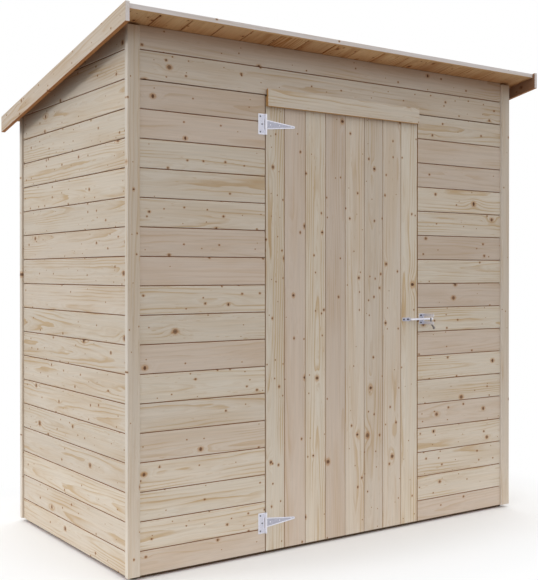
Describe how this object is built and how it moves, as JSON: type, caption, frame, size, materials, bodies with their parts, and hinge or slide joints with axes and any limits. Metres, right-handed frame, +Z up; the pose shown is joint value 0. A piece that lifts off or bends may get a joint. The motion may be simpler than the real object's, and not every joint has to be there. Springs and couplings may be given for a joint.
{
  "type": "wooden garden shed",
  "caption": "Pent-roof garden shed in natural softwood with horizontal tongue-and-groove cladding, corner trims, a boarded door on tee hinges and a gravity gate latch",
  "frame": {"origin": "on the ground under the middle of the roof's outline, left to right and front to back", "axes": "+X to the right seen from the door, +Y from the door to the back wall, +Z up; the door is in the front wall, which faces -Y"},
  "size_m": [2.192, 1.284, 2.1079],
  "materials": {
    "spruce": "planed, untreated softwood with small knots",
    "zinc": "bright zinc plated"
  },
  "bodies": {
    "shed": {"floor_long_bearers": "spruce", "floor_cross_bearers": "spruce", "floor_panel": "spruce", "front_wall_left": "spruce", "front_wall_right": "spruce", "front_wall_header": "spruce", "back_wall": "spruce", "left_wall": "spruce", "right_wall": "spruce", "corner_trims": "spruce", "corner_posts": "spruce", "front_top_rail": "spruce", "back_top_rail": "spruce", "door_posts": "spruce", "door_head_rail": "spruce", "roof_purlin": "spruce", "wall_studs": "spruce", "roof_deck": "spruce", "front_edge_strip": "spruce", "back_edge_strip": "spruce", "left_bargeboard": "spruce", "right_bargeboard": "spruce", "hinge_wall_plates": "zinc", "latch_bracket": "zinc"},
    "door": {"door_boards": "spruce", "door_head_strip": "spruce", "door_ledges": "spruce", "door_braces": "spruce", "hinge_straps": "zinc", "latch_striker": "zinc"},
    "lever": {"latch_lever": "zinc"}
  },
  "joints": [
    {"name": "door_swing", "type": "hinge", "parent": "shed", "child": "door", "pos_m": [-0.4085, -0.521, 0.9375], "axis": [0, 0, -1], "range_deg": [0, 100]},
    {"name": "lever_lift", "type": "hinge", "parent": "shed", "child": "lever", "pos_m": [0.4705, -0.562, 0.9175], "axis": [-1, 0, 0], "range_deg": [0, 70]}
  ]
}
